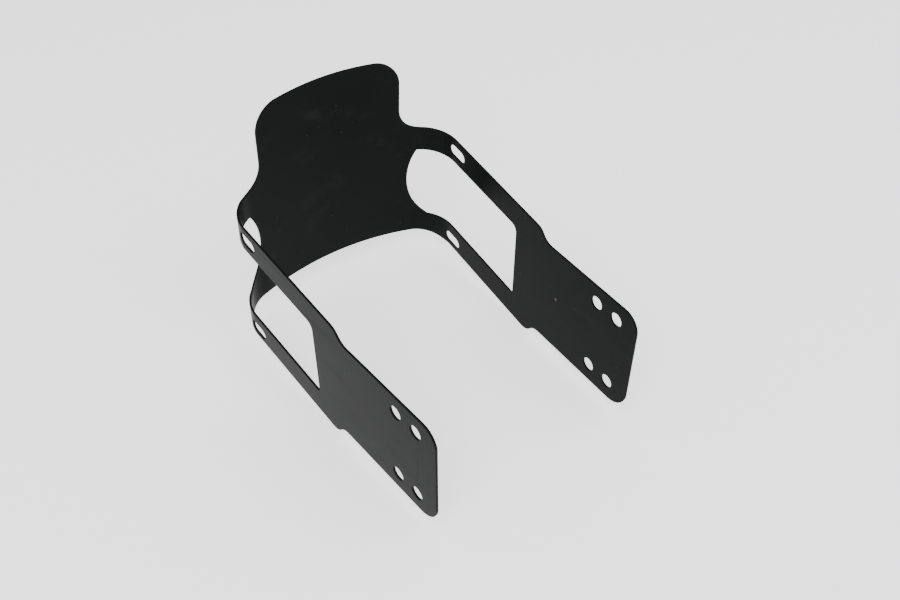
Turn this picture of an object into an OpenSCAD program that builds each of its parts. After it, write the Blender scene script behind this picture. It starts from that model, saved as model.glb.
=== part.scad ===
// Front fender bracket for a motorbike: one sheet of steel, cut, rolled across the front and folded
// back into two legs. The rolled front carries a tall rounded tab, each leg is a pair of arms round a
// long window, and the legs end in plates with four bolt holes. Lengths are millimetres, angles degrees.
// X runs along the legs to their free ends, Y across, Z up, square to the end plates' bolt holes.
// The origin is midway along the bracket, on its middle plane, level with its lowest edge.

/* [Sheet] */
// Thickness of the sheet
sheet_t = 1.5; // [1:0.1:3]
// Radius that the front plate is rolled to, to the middle of the sheet
crown_r = 222; // [180:1:400]
// Radius of the two bends at the front corners, to the middle of the sheet
bend_r = 25; // [15:0.5:32]
// Clear width between the legs where they leave the bends
inner_w = 153; // [135:1:180]
// Angle by which each leg leans in towards its free end
toe_in = 2.5; // [0:0.1:5]

/* [Arms] */
// Angle by which the arms drop from the front plate to the end plates, seen from the side
arm_slope = 4; // [0:0.1:6]
// Width of the upper arms
upper_arm_w = 17.5; // [14:0.5:24]
// Width of the lower arms
lower_arm_w = 18; // [14:0.5:24]
// Height of the windows between the arms
window_h = 55.5; // [48:0.5:70]
// Angle at which the front plate's lower edge climbs towards the middle, seen from the side
front_rise = 14; // [4:0.5:25]
// Distance from the middle of the front plate back to the foot of that climb
front_run = 26.5; // [20:0.5:40]
// Fillet at the foot of that climb
front_run_r = 20; // [5:1:40]

/* [Tab] */
// Width of the tab that stands on the front plate
tab_w = 101; // [80:1:110]
// Height of the tab's top above the upper arms, in the middle
tab_h = 55; // [45:1:80]
// Radius of the arched top edge
tab_top_r = 390; // [200:5:800]
// Radius of the two top corners
tab_corner_r = 18; // [5:0.5:22]
// Fillet between the tab's sides and the upper arms
tab_foot_r = 16.5; // [8:0.5:20]

/* [Windows] */
// Metal left between the two windows on the front plate
web_w = 112; // [100:1:125]
// Radius of the windows' round front ends
window_end_r = 45; // [40:0.5:60]
// Height of the middle of those ends above the lower arms' lower edge
window_end_h = 52; // [46:0.5:56]
// Fillet at the windows' upper rear corners
window_upper_r = 5.5; // [2:0.5:12]
// Fillet at the windows' lower rear corners
window_lower_r = 2; // [1:0.5:6]

/* [Slots] */
// Width of the slot in each arm
slot_w = 8; // [5:0.5:10]
// Length of the slots, end to end
slot_l = 16; // [12:0.5:24]
// Distance from the end of the bend to the middle of the slots
slot_back = 2.7; // [0:0.1:12]
// Distance from the upper arms' upper edge down to their slots
upper_slot_in = 8.8; // [7:0.1:12]
// Distance from the lower arms' lower edge up to their slots
lower_slot_in = 6.9; // [6.5:0.1:12]

/* [End plates] */
// Angle between the end plates' long edges and the flat of the bends
plate_tilt = 3.6; // [0:0.1:6]
// Height of the end plates
plate_h = 75; // [62:0.5:80]
// Distance from the front plate to the middle of the bolt holes
plate_reach = 190.8; // [175:0.1:260]
// Height by which the end plates' middle lies above the arms' middle at the steps
plate_lift = 1.5; // [0:0.1:4]
// Distance from the middle of the bolt holes to the plates' ends
end_margin = 25.5; // [18:0.5:40]
// Distance from the middle of the bolt holes forward to the windows' rear edges
window_rear = 86.6; // [60:0.1:95]
// Corner radius at the upper end
upper_end_r = 11.5; // [4:0.5:16]
// Corner radius at the lower end
lower_end_r = 14; // [4:0.5:16]
// Distance from the middle of the bolt holes forward to the foot of the upper step
upper_step = 57.4; // [45:0.1:62]
// Distance from the middle of the bolt holes forward to the top of the lower step
lower_step = 62.6; // [45:0.1:66]
// Length over which the steps climb or drop to the arms
step_run = 6.5; // [3:0.5:12]
// Fillets of the steps
step_r = 10; // [3:0.5:14]

/* [Bolt holes] */
// Diameter of the bolt holes
hole_d = 9; // [5:0.1:11]
// Spacing of the bolt holes along the plates
hole_dx = 17; // [12:0.5:26]
// Spacing of the bolt holes across the plates
hole_dz = 51; // [30:0.5:58]

/* [Hidden] */
$fn = 120;
// Overshoot of the cutting bodies past the sheet
over = 20;
// Overshoot of a corner piece past the corner that it takes off
seat = 0.5;
// Added to the radius of each round, so that its arc crosses what it runs into cleanly
bite = 0.002;

// Plan of the bent sheet. The front is an arc about [crown_r, 0], each corner an arc about bend_mid.
half_w = inner_w / 2 + sheet_t / 2;
crown_half = asin((half_w - bend_r) / (crown_r - bend_r));
bend_mid = [crown_r - (crown_r - bend_r) * cos(crown_half), (crown_r - bend_r) * sin(crown_half)];
crown_end_y = crown_r * sin(crown_half);
bend_end = [bend_mid.x + bend_r * sin(toe_in), bend_mid.y + bend_r * cos(toe_in)];

// X of the sheet's middle on the front plate or the bend, at a distance y from the middle plane
function wall_x(y) =
    y <= crown_end_y
        ? crown_r - sqrt(crown_r * crown_r - y * y)
        : bend_mid.x - sqrt(bend_r * bend_r - pow(y - bend_mid.y, 2));

// Side view of the arms: four parallel lines, by their height above the lowest at the end of the bend
arms_h = lower_arm_w + window_h + upper_arm_w;
function arm_z(x, height) = height - (x - bend_end.x) * tan(arm_slope);

// Side view of the end plates: u runs along a plate and v up it, from the middle of its bolt holes
step_x = plate_reach - (upper_step + lower_step) / 2;
plate_z = arm_z(step_x, arms_h / 2) + plate_lift + (plate_reach - step_x) * tan(plate_tilt);
function plate_point(u, v) = [
    plate_reach + u * cos(plate_tilt) - v * sin(plate_tilt),
    plate_z + u * sin(plate_tilt) + v * cos(plate_tilt)
];
// Where the line of a plate at u meets the arms' line of that height
function on_plate_line(u, height) =
    let (p = plate_point(u, 0))
    let (v = (arm_z(p.x, height) - p.y) / (cos(plate_tilt) - sin(plate_tilt) * tan(arm_slope)))
    plate_point(u, v);

// Outline of the sheet from the side, as corners [x, z, fillet], anticlockwise
upper_foot = plate_point(-upper_step, plate_h / 2);
lower_top = plate_point(-lower_step, -plate_h / 2);
upper_brink_x = upper_foot.x - step_run;
lower_brink_x = lower_top.x - step_run;
function with_r(p, r) = [p.x, p.y, r];
side_corners = [
    [-over, arm_z(front_run, 0) + (front_run + over) * tan(front_rise), 0],
    [front_run, arm_z(front_run, 0), front_run_r],
    [lower_brink_x, arm_z(lower_brink_x, 0), step_r],
    with_r(lower_top, step_r),
    with_r(plate_point(end_margin, -plate_h / 2), lower_end_r),
    with_r(plate_point(end_margin, plate_h / 2), upper_end_r),
    with_r(upper_foot, step_r),
    [upper_brink_x, arm_z(upper_brink_x, arms_h), step_r],
    [-over, arm_z(-over, arms_h), 0]
];

// Outline of a window from the side
window_corners = [
    [-over, arm_z(-over, lower_arm_w), 0],
    with_r(on_plate_line(-window_rear, lower_arm_w), window_lower_r),
    with_r(on_plate_line(-window_rear, lower_arm_w + window_h), window_upper_r),
    [-over, arm_z(-over, lower_arm_w + window_h), 0]
];

// Height of the tab's foot, where its fillets run into the upper arms' edge, and of its top
tab_foot_x = wall_x(tab_w / 2 + tab_foot_r);
tab_foot_z = arm_z(tab_foot_x, arms_h);
tab_top_z = arm_z(0, arms_h) + tab_h;

// Middles, in y and z, of the tab's arch and of the round at its end
arch_mid = [0, tab_top_z - tab_top_r];
arch_end_y = tab_w / 2 - tab_corner_r;
arch_end_mid = [arch_end_y, arch_mid.y + sqrt(pow(tab_top_r - tab_corner_r, 2) - arch_end_y * arch_end_y)];

// Outline of the tab from the front, as corners [y, z, fillet]
tab_corners = [
    [-inner_w, window_end_h, 0],
    [inner_w, window_end_h, 0],
    [inner_w, tab_foot_z, 0],
    [tab_w / 2, tab_foot_z, tab_foot_r],
    [tab_w / 2, tab_top_z + over, 0],
    [-tab_w / 2, tab_top_z + over, 0],
    [-tab_w / 2, tab_foot_z, tab_foot_r],
    [-inner_w, tab_foot_z, 0]
];

// Corner i of a list of corners: its angle, its fillet within half of the edges beside it, its arc
function xy(p) = [p.x, p.y];
function corner(v, i) = xy(v[i]);
function before(v, i) = xy(v[(i + len(v) - 1) % len(v)]);
function after(v, i) = xy(v[(i + 1) % len(v)]);
function unit(p) = p / norm(p);
function turn(v, i) = cross(corner(v, i) - before(v, i), after(v, i) - corner(v, i));
function half_angle(v, i) =
    acos(unit(before(v, i) - corner(v, i)) * unit(after(v, i) - corner(v, i))) / 2;
function reach(v, i) =
    min(
        v[i][2] / tan(half_angle(v, i)),
        norm(before(v, i) - corner(v, i)) / 2,
        norm(after(v, i) - corner(v, i)) / 2
    );
function arc_r(v, i) = reach(v, i) * tan(half_angle(v, i));
function arc_mid(v, i) =
    corner(v, i)
    + unit(unit(before(v, i) - corner(v, i)) + unit(after(v, i) - corner(v, i)))
    * arc_r(v, i) / sin(half_angle(v, i));

function arc_start(v, i) = corner(v, i) + unit(before(v, i) - corner(v, i)) * reach(v, i);
function arc_end(v, i) = corner(v, i) + unit(after(v, i) - corner(v, i)) * reach(v, i);

// What a round about mid leaves of a corner, between the directions a and b in which it ends
module corner_piece(mid, r, a, b) {
    far = r + seat;
    difference() {
        polygon([mid, mid + far * a, mid + far * (a + b) / (1 + a * b), mid + far * b]);
        translate(mid)
            circle(r = r + bite);
    }
}

// An outline with straight sides, whose inner corners are filled as far as the middle of their arc
module filled_outline(v) {
    polygon([
        for (i = [0:len(v) - 1])
            each turn(v, i) < 0 && v[i][2] > 0
                ? [arc_start(v, i), arc_mid(v, i), arc_end(v, i)]
                : [corner(v, i)]
    ]);
}

// What that outline loses to be rounded: a disc at each inner corner, a piece of each outer one
module rounding_cuts(v) {
    for (i = [0:len(v) - 1])
        if (v[i][2] > 0)
            if (turn(v, i) < 0)
                translate(arc_mid(v, i))
                    circle(r = arc_r(v, i) + bite);
            else
                corner_piece(
                    arc_mid(v, i),
                    arc_r(v, i),
                    unit(arc_start(v, i) - arc_mid(v, i)),
                    unit(arc_end(v, i) - arc_mid(v, i))
                );
}

// A side view, drawn in x and z, carried across both legs
module across(width) {
    rotate([90, 0, 0])
        linear_extrude(height = width, center = true)
            children();
}

// A front view, drawn in y and z, carried from x = -over to the given depth
module from_front(depth) {
    translate([-over, 0, 0])
        rotate([90, 0, 90])
            linear_extrude(height = depth + over)
                children();
}

// Plan of everything within the bent sheet's middle, moved out by grow, with legs that long
module plan_fill(grow, length) {
    intersection() {
        translate([crown_r, 0])
            circle(r = crown_r + grow, $fn = 720);
        polygon([
            [crown_r, 0],
            [crown_r, 0] - 2 * crown_r * [cos(crown_half), sin(crown_half)],
            [-2 * crown_r, 0],
            [crown_r, 0] - 2 * crown_r * [cos(crown_half), -sin(crown_half)]
        ]);
    }
    for (side = [-1, 1]) {
        translate([bend_mid.x, side * bend_mid.y])
            circle(r = bend_r + grow + bite);
    }
    leg = [bend_end.x, bend_end.y] + grow * [sin(toe_in), cos(toe_in)];
    leg_end = [length, leg.y - (length - leg.x) * tan(toe_in)];
    polygon([
        [bend_mid.x, -bend_mid.y],
        [leg.x, -leg.y],
        [leg_end.x, -leg_end.y],
        leg_end,
        leg,
        bend_mid
    ]);
}

// The bent sheet before any outline is cut in it
module bent_sheet() {
    length = plate_reach + end_margin + 2 * over;
    low = arm_z(length, 0) - over;
    translate([0, 0, low])
        linear_extrude(height = tab_top_z + over - low)
            difference() {
                plan_fill(sheet_t / 2, length);
                plan_fill(-sheet_t / 2, length + over);
            }
}

// What the tab's top loses to its arch, seen from the front
module arch_cut() {
    difference() {
        translate([-inner_w / 2, tab_foot_z + tab_foot_r])
            square([inner_w, tab_h + 2 * over]);
        translate(arch_mid)
            circle(r = tab_top_r, $fn = 720);
    }
}

// What the round at one end of the arch takes off, seen from the front
module arch_end_cut(side) {
    corner_piece(
        [side * arch_end_mid.x, arch_end_mid.y],
        tab_corner_r,
        [side, 0],
        unit([side * arch_end_mid.x, arch_end_mid.y] - arch_mid)
    );
}

// One window: the side outline, as far as its round end on the front plate
module window(side) {
    difference() {
        intersection() {
            across(2 * inner_w)
                filled_outline(window_corners);
            union() {
                from_front(bend_end.x)
                    translate([side * (web_w / 2 + window_end_r), window_end_h])
                        circle(r = window_end_r);
                translate([bend_end.x - seat, side > 0 ? 0 : -inner_w, -inner_w])
                    cube([2 * plate_reach, inner_w, 3 * inner_w]);
            }
        }
        across(2 * inner_w)
            rounding_cuts(window_corners);
    }
}

// A slot along the arms through both legs, with its middle at that height on the arms' lines
module arm_slot(height) {
    x = bend_end.x + slot_back;
    half = (slot_l - slot_w) / 2;
    across(2 * inner_w)
        translate([x, arm_z(x, height)])
            rotate(-arm_slope) {
                square([2 * half, slot_w - 2 * bite], center = true);
                for (end = [-half, half])
                    translate([end, 0])
                        circle(d = slot_w);
            }
}

// The four bolt holes, through both end plates
module bolt_holes() {
    for (u = [-hole_dx / 2, hole_dx / 2], v = [-hole_dz / 2, hole_dz / 2]) {
        p = plate_point(u, v);
        translate([p.x, 0, p.y])
            rotate([90, 0, 0])
                cylinder(d = hole_d, h = 2 * inner_w, center = true);
    }
}

// Turns the sheet until the end plates are level and sets it over the origin. Its lowest point is
// the round of the lower step, and its foremost one the front plate's lower edge.
function level(p) = [
    p.x * cos(plate_tilt) + p.y * sin(plate_tilt),
    p.y * cos(plate_tilt) - p.x * sin(plate_tilt)
];
lowest = level(arc_mid(side_corners, 2)).y - arc_r(side_corners, 2) - bite;
foremost = level([-sheet_t / 2, arm_z(front_run, 0) + front_run * tan(front_rise)]).x;
rearmost = level(plate_point(end_margin, 0)).x;

module bracket() {
    color([0.12, 0.12, 0.125])
        translate([-(foremost + rearmost) / 2, 0, -lowest])
            rotate([0, plate_tilt, 0])
                difference() {
                    intersection() {
                        bent_sheet();
                        union() {
                            across(2 * inner_w)
                                filled_outline(side_corners);
                            from_front(tab_foot_x)
                                filled_outline(tab_corners);
                        }
                    }
                    across(2 * inner_w)
                        rounding_cuts(side_corners);
                    from_front(tab_foot_x)
                        rounding_cuts(tab_corners);
                    from_front(tab_foot_x)
                        arch_cut();
                    for (side = [-1, 1]) {
                        from_front(tab_foot_x)
                            arch_end_cut(side);
                        window(side);
                    }
                    arm_slot(arms_h - upper_slot_in);
                    arm_slot(lower_slot_in);
                    bolt_holes();
                }
}

bracket();
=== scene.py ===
"""A motorbike's front fender bracket: one folded sheet of steel in satin black powder coat, on a
pale floor. Lengths are metres. X runs along the legs to their free ends, Y across and Z up."""

import bmesh
import bpy
import numpy as np
from mathutils import Matrix


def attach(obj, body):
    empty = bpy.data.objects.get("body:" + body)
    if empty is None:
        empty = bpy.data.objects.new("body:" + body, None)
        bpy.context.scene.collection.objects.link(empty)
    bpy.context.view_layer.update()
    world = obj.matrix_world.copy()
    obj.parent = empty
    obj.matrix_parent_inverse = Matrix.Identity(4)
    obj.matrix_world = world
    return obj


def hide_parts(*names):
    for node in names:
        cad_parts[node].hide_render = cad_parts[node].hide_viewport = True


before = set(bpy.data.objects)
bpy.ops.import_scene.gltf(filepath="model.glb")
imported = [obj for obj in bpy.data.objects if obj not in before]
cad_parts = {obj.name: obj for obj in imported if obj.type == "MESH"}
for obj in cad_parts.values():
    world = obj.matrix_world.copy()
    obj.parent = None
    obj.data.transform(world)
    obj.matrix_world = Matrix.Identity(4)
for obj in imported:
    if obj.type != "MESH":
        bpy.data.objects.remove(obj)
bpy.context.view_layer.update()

# Width of the photograph, in pixels
PHOTO_W = 900
# The camera that the outlines in the photograph give: place, axes and focal length in pixels
CAMERA_AT = (0.365612, -0.252569, 0.464776)
CAMERA_RIGHT = (0.595317, 0.803483, 0.003474)
CAMERA_DOWN = (0.545836, -0.401240, -0.735575)
CAMERA_AHEAD = (-0.589628, 0.439797, -0.677435)
FOCAL_PX = 997.02
SENSOR_MM = 36.0

# Radius that the coat gives to the cut edges of the sheet, and the steps in the round
EDGE_ROUND = 0.00024
EDGE_STEPS = 3
# An edge is a cut one where the faces beside it turn by more than this, in degrees
EDGE_ANGLE = 40.0
# Corners nearer than the first are one corner, and an edge shorter than the second is none
SAME_POINT = 2e-6
NO_LENGTH = 1e-6

# Colours of the satin black coat: its darkest and lightest cloud, and the marks on it
COAT_DARK = (0.0054, 0.0064, 0.0058, 1.0)
COAT_LIGHT = (0.0078, 0.0090, 0.0082, 1.0)
SMEAR = (0.0140, 0.0156, 0.0144, 1.0)
DUST = (0.060, 0.060, 0.055, 1.0)
FLECK = (0.115, 0.120, 0.018, 1.0)
# How far each mark covers the coat
SMEAR_SHARE = 0.45
DUST_SHARE = 0.5
FLECK_SHARE = 0.85
# Index of refraction, set low so that the legs mirror the floor as faintly as in the photograph
COAT_IOR = 1.085
# Roughness of the darkest and the lightest cloud, and what a smear adds to it
ROUGH_DARK = 0.27
ROUGH_LIGHT = 0.35
SMEAR_ROUGH = 0.10
# Depth of the orange peel, and how much of it the normal shows
PEEL_DEPTH = 0.00004
PEEL_SHARE = 0.16
# A speck's cell holds dust where its random value is over this
SPECK_LOT = 0.72
# A small fleck of old paint on the inner face of one end plate, by its place on the sheet
FLECK_AT = (0.04045, 0.07149, 0.04706)
FLECK_R = 0.0009

# Half the side of the floor, and its colours
FLOOR_HALF = 8.0
FLOOR_BASE = (0.80, 0.785, 0.79, 1.0)
FLOOR_GLOW = (1.0, 0.985, 0.992, 1.0)
FLOOR_GLOW_STRENGTH = 1.22
# The pale surround, and the two soft lights: side in metres, place and power in watts
SURROUND = (0.96, 0.98, 1.0, 1.0)
SURROUND_STRENGTH = 0.8
LIGHT_SIDE = 1.4
KEY_AT = (0.9, -0.9, 1.5)
KEY_POWER = 30.0
FILL_AT = (0.8, 1.0, 1.4)
FILL_POWER = 11.0


def socket(group, name, way, kind="NodeSocketFloat", value=None):
    """A named input or output of a node group."""
    made = group.interface.new_socket(name=name, in_out=way, socket_type=kind)
    if value is not None:
        made.default_value = value
    return made


def node(tree, kind, at, inputs=None, **settings):
    """A node of a tree, with its settings and the values of its inputs."""
    made = tree.nodes.new(kind)
    made.location = at
    for name, value in settings.items():
        setattr(made, name, value)
    for name, value in (inputs or {}).items():
        made.inputs[name].default_value = value
    return made


def coat_grain_group():
    """The skin of a powder coat. Height is a fine orange peel: noise about a millimetre long plus
    Fine Share of a noise four times finer. Cloud is the slow unevenness of the sprayed layer."""
    group = bpy.data.node_groups.new("coat_grain", "ShaderNodeTree")
    socket(group, "Peel Scale", "INPUT", value=900.0)
    socket(group, "Fine Share", "INPUT", value=0.25)
    socket(group, "Cloud Scale", "INPUT", value=22.0)
    socket(group, "Height", "OUTPUT")
    socket(group, "Cloud", "OUTPUT")
    given = node(group, "NodeGroupInput", (-900, 0))
    given_out = node(group, "NodeGroupOutput", (500, 0))
    place = node(group, "ShaderNodeTexCoord", (-900, -300))
    peel = node(group, "ShaderNodeTexNoise", (-400, 200), {"Detail": 1.0, "Roughness": 0.4})
    finer = node(group, "ShaderNodeMath", (-650, -60), operation="MULTIPLY")
    finer.inputs[1].default_value = 4.0
    fine = node(group, "ShaderNodeTexNoise", (-400, -60), {"Detail": 2.0, "Roughness": 0.5})
    share = node(group, "ShaderNodeMath", (-150, -60), operation="MULTIPLY")
    both = node(group, "ShaderNodeMath", (100, 100), operation="ADD")
    cloud = node(group, "ShaderNodeTexNoise", (-400, -320), {"Detail": 4.0, "Roughness": 0.55})
    link = group.links.new
    link(place.outputs["Object"], peel.inputs["Vector"])
    link(place.outputs["Object"], fine.inputs["Vector"])
    link(place.outputs["Object"], cloud.inputs["Vector"])
    link(given.outputs["Peel Scale"], peel.inputs["Scale"])
    link(given.outputs["Peel Scale"], finer.inputs[0])
    link(finer.outputs[0], fine.inputs["Scale"])
    link(given.outputs["Cloud Scale"], cloud.inputs["Scale"])
    link(fine.outputs["Fac"], share.inputs[0])
    link(given.outputs["Fine Share"], share.inputs[1])
    link(peel.outputs["Fac"], both.inputs[0])
    link(share.outputs[0], both.inputs[1])
    link(both.outputs[0], given_out.inputs["Height"])
    link(cloud.outputs["Fac"], given_out.inputs["Cloud"])
    return group


def handling_group():
    """What handling leaves on the coat. Rub is a mask of faint smears, a noise stretched along the
    legs and cut to its highest part. Dust is a mask of single specks, one in each of a few cells,
    where the distance to the cell's point is under Speck Size."""
    group = bpy.data.node_groups.new("handling_marks", "ShaderNodeTree")
    socket(group, "Smear Scale", "INPUT", value=34.0)
    socket(group, "Speck Scale", "INPUT", value=170.0)
    socket(group, "Speck Size", "INPUT", value=0.07)
    socket(group, "Rub", "OUTPUT")
    socket(group, "Dust", "OUTPUT")
    given = node(group, "NodeGroupInput", (-1100, 0))
    given_out = node(group, "NodeGroupOutput", (600, 0))
    place = node(group, "ShaderNodeTexCoord", (-1100, -300))
    along = node(group, "ShaderNodeMapping", (-850, 150), {"Scale": (0.35, 1.0, 1.6)})
    smear = node(group, "ShaderNodeTexNoise", (-600, 150), {"Detail": 5.0, "Roughness": 0.62})
    rub = node(
        group,
        "ShaderNodeMapRange",
        (-350, 150),
        {"From Min": 0.53, "From Max": 0.74},
        interpolation_type="SMOOTHSTEP",
    )
    cells = node(group, "ShaderNodeTexVoronoi", (-600, -200), feature="F1")
    near = node(group, "ShaderNodeMath", (-350, -150), operation="LESS_THAN")
    lot = node(group, "ShaderNodeSeparateColor", (-350, -350))
    chosen = node(group, "ShaderNodeMath", (-150, -350), operation="GREATER_THAN")
    chosen.inputs[1].default_value = SPECK_LOT
    dust = node(group, "ShaderNodeMath", (100, -200), operation="MULTIPLY")
    link = group.links.new
    link(place.outputs["Object"], along.inputs["Vector"])
    link(along.outputs["Vector"], smear.inputs["Vector"])
    link(given.outputs["Smear Scale"], smear.inputs["Scale"])
    link(smear.outputs["Fac"], rub.inputs["Value"])
    link(place.outputs["Object"], cells.inputs["Vector"])
    link(given.outputs["Speck Scale"], cells.inputs["Scale"])
    link(cells.outputs["Distance"], near.inputs[0])
    link(given.outputs["Speck Size"], near.inputs[1])
    link(cells.outputs["Color"], lot.inputs["Color"])
    link(lot.outputs[0], chosen.inputs[0])
    link(near.outputs[0], dust.inputs[0])
    link(chosen.outputs[0], dust.inputs[1])
    link(rub.outputs["Result"], given_out.inputs["Rub"])
    link(dust.outputs[0], given_out.inputs["Dust"])
    return group


def fleck_group():
    """A round mask about a point of the piece: one where the distance to it is under six tenths of
    the radius, falling smoothly to nothing at one and a half radii."""
    group = bpy.data.node_groups.new("paint_fleck", "ShaderNodeTree")
    socket(group, "Place", "INPUT", "NodeSocketVector")
    socket(group, "Radius", "INPUT", value=0.001)
    socket(group, "Mask", "OUTPUT")
    given = node(group, "NodeGroupInput", (-900, 0))
    given_out = node(group, "NodeGroupOutput", (300, 0))
    place = node(group, "ShaderNodeTexCoord", (-900, -250))
    gap = node(group, "ShaderNodeVectorMath", (-650, 0), operation="DISTANCE")
    share = node(group, "ShaderNodeMath", (-400, 0), operation="DIVIDE")
    mask = node(
        group,
        "ShaderNodeMapRange",
        (-150, 0),
        {"From Min": 1.5, "From Max": 0.6},
        interpolation_type="SMOOTHSTEP",
    )
    link = group.links.new
    link(place.outputs["Object"], gap.inputs[0])
    link(given.outputs["Place"], gap.inputs[1])
    link(gap.outputs["Value"], share.inputs[0])
    link(given.outputs["Radius"], share.inputs[1])
    link(share.outputs[0], mask.inputs["Value"])
    link(mask.outputs["Result"], given_out.inputs["Mask"])
    return group


def tinted(tree, at, mask, under, over, strength):
    """The colour under, a socket, going to the colour over by strength where the mask is one."""
    part = node(tree, "ShaderNodeMath", (at[0] - 200, at[1] - 150), operation="MULTIPLY")
    part.inputs[1].default_value = strength
    tree.links.new(mask, part.inputs[0])
    mix = node(tree, "ShaderNodeMix", at, data_type="RGBA")
    tree.links.new(part.outputs[0], mix.inputs["Factor"])
    tree.links.new(under, mix.inputs["A"])
    mix.inputs["B"].default_value = over
    return mix.outputs["Result"]


def satin_black_coat():
    """Satin black powder coat on steel: near black with a green-grey cast, clouded by about a fifth
    each way, with faint duller smears, a few dust specks and one small fleck of yellow-green paint.
    Roughness is the cloud's own, between two ends, plus SMEAR_ROUGH times the smears."""
    made = bpy.data.materials.new("satin_black_coat")
    made.use_nodes = True
    tree = made.node_tree
    shader = tree.nodes["Principled BSDF"]
    shader.inputs["IOR"].default_value = COAT_IOR
    shader.inputs["Metallic"].default_value = 0.0
    link = tree.links.new

    grain = node(tree, "ShaderNodeGroup", (-1500, -300), node_tree=coat_grain_group())
    marks = node(tree, "ShaderNodeGroup", (-1500, 0), node_tree=handling_group())
    fleck = node(tree, "ShaderNodeGroup", (-1500, 300), node_tree=fleck_group())
    fleck.inputs["Place"].default_value = FLECK_AT
    fleck.inputs["Radius"].default_value = FLECK_R

    clouded = node(tree, "ShaderNodeMix", (-1200, 150), data_type="RGBA")
    clouded.inputs["A"].default_value = COAT_DARK
    clouded.inputs["B"].default_value = COAT_LIGHT
    link(grain.outputs["Cloud"], clouded.inputs["Factor"])
    colour = clouded.outputs["Result"]
    colour = tinted(tree, (-900, 150), marks.outputs["Rub"], colour, SMEAR, SMEAR_SHARE)
    colour = tinted(tree, (-600, 150), marks.outputs["Dust"], colour, DUST, DUST_SHARE)
    colour = tinted(tree, (-300, 150), fleck.outputs["Mask"], colour, FLECK, FLECK_SHARE)
    link(colour, shader.inputs["Base Color"])

    ends = {"To Min": ROUGH_DARK, "To Max": ROUGH_LIGHT}
    rough = node(tree, "ShaderNodeMapRange", (-900, -150), ends)
    link(grain.outputs["Cloud"], rough.inputs["Value"])
    duller = node(tree, "ShaderNodeMath", (-600, -150), operation="MULTIPLY_ADD")
    duller.inputs[1].default_value = SMEAR_ROUGH
    link(marks.outputs["Rub"], duller.inputs[0])
    link(rough.outputs["Result"], duller.inputs[2])
    link(duller.outputs[0], shader.inputs["Roughness"])

    depth = {"Strength": PEEL_SHARE, "Distance": PEEL_DEPTH}
    peel = node(tree, "ShaderNodeBump", (-600, -400), depth)
    link(grain.outputs["Height"], peel.inputs["Height"])
    link(peel.outputs["Normal"], shader.inputs["Normal"])
    return made


def coated_sheet(cad):
    """The folded sheet as the coat leaves it: the solid's own surface, its triangles merged where
    their corners meet, and every cut edge turned into a quarter round of EDGE_ROUND."""
    mesh = cad.data.copy()
    mesh.name = "coated_sheet"
    shape = bmesh.new()
    shape.from_mesh(mesh)
    bmesh.ops.remove_doubles(shape, verts=shape.verts, dist=SAME_POINT)
    bmesh.ops.dissolve_degenerate(shape, edges=shape.edges, dist=NO_LENGTH)
    for face in shape.faces:
        face.smooth = True
    shape.to_mesh(mesh)
    shape.free()
    for name in ("custom_normal", "sharp_edge", "sharp_face"):
        if name in mesh.attributes:
            mesh.attributes.remove(mesh.attributes[name])
    mesh.materials.clear()
    mesh.materials.append(satin_black_coat())
    piece = bpy.data.objects.new("coated_sheet", mesh)
    bpy.context.scene.collection.objects.link(piece)
    rounds = piece.modifiers.new("edge rounds", "BEVEL")
    rounds.width = EDGE_ROUND
    rounds.segments = EDGE_STEPS
    rounds.limit_method = "ANGLE"
    rounds.angle_limit = np.radians(EDGE_ANGLE)
    rounds.use_clamp_overlap = False
    rounds.miter_outer = "MITER_SHARP"
    flats = piece.modifiers.new("flat faces", "WEIGHTED_NORMAL")
    flats.weight = 80
    flats.keep_sharp = False
    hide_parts("bracket")
    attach(piece, "root")


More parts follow.
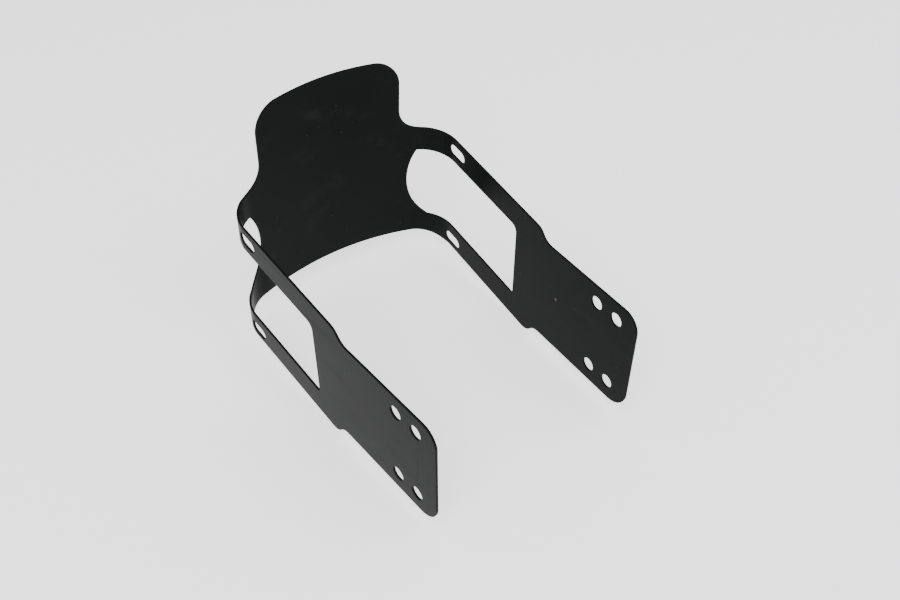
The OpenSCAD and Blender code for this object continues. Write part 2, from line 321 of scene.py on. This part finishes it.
def pale_floor():
    """A level square at the bracket's lowest point: a grid of x and y, two cells each way, at
    height zero."""
    steps = np.linspace(-FLOOR_HALF, FLOOR_HALF, 3)
    x, y = np.meshgrid(steps, steps, indexing="ij")
    points = np.stack([x.ravel(), y.ravel(), np.zeros(x.size)], axis=1)
    first = (np.arange(2)[:, None] * 3 + np.arange(2)[None, :]).ravel()
    quads = np.stack([first, first + 3, first + 4, first + 1], axis=1)
    mesh = bpy.data.meshes.new("pale_floor")
    mesh.from_pydata(points.tolist(), [], quads.tolist())
    made = bpy.data.materials.new("pale_floor")
    made.use_nodes = True
    shader = made.node_tree.nodes["Principled BSDF"]
    shader.inputs["Base Color"].default_value = FLOOR_BASE
    shader.inputs["Roughness"].default_value = 1.0
    shader.inputs["Specular IOR Level"].default_value = 0.0
    shader.inputs["Emission Color"].default_value = FLOOR_GLOW
    shader.inputs["Emission Strength"].default_value = FLOOR_GLOW_STRENGTH
    mesh.materials.append(made)
    floor = bpy.data.objects.new("pale_floor", mesh)
    bpy.context.scene.collection.objects.link(floor)


def soft_light(name, at, power):
    """A square white studio light, turned from its place towards the origin."""
    data = bpy.data.lights.new(name, "AREA")
    data.shape = "SQUARE"
    data.size = LIGHT_SIDE
    data.energy = power
    made = bpy.data.objects.new(name, data)
    bpy.context.scene.collection.objects.link(made)
    back = np.array(at, float)
    back = back / np.linalg.norm(back)
    side = np.cross((0.0, 0.0, 1.0), back)
    side = side / np.linalg.norm(side)
    turn = np.stack([side, np.cross(back, side), back], axis=1)
    place = np.eye(4)
    place[:3, :3] = turn
    place[:3, 3] = at
    made.matrix_world = Matrix(place.tolist())


def studio():
    """A pale surround, and two broad soft lights on the camera's side."""
    world = bpy.data.worlds.new("studio")
    bpy.context.scene.world = world
    world.use_nodes = True
    surround = world.node_tree.nodes["Background"]
    surround.inputs["Color"].default_value = SURROUND
    surround.inputs["Strength"].default_value = SURROUND_STRENGTH
    soft_light("key", KEY_AT, KEY_POWER)
    soft_light("fill", FILL_AT, FILL_POWER)


def photograph_camera():
    """The camera whose picture of the solid falls on the photograph: the lens is the sensor's width
    times the focal length over the picture's width, both in pixels."""
    data = bpy.data.cameras.new("camera")
    data.sensor_fit = "HORIZONTAL"
    data.sensor_width = SENSOR_MM
    data.lens = FOCAL_PX / PHOTO_W * SENSOR_MM
    data.clip_start = 0.02
    data.clip_end = 30.0
    made = bpy.data.objects.new("camera", data)
    bpy.context.scene.collection.objects.link(made)
    place = np.eye(4)
    place[:3, 0] = CAMERA_RIGHT
    place[:3, 1] = -np.array(CAMERA_DOWN)
    place[:3, 2] = -np.array(CAMERA_AHEAD)
    place[:3, 3] = CAMERA_AT
    made.matrix_world = Matrix(place.tolist())
    bpy.context.scene.camera = made


photograph_camera()
coated_sheet(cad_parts["bracket"])
pale_floor()
studio()
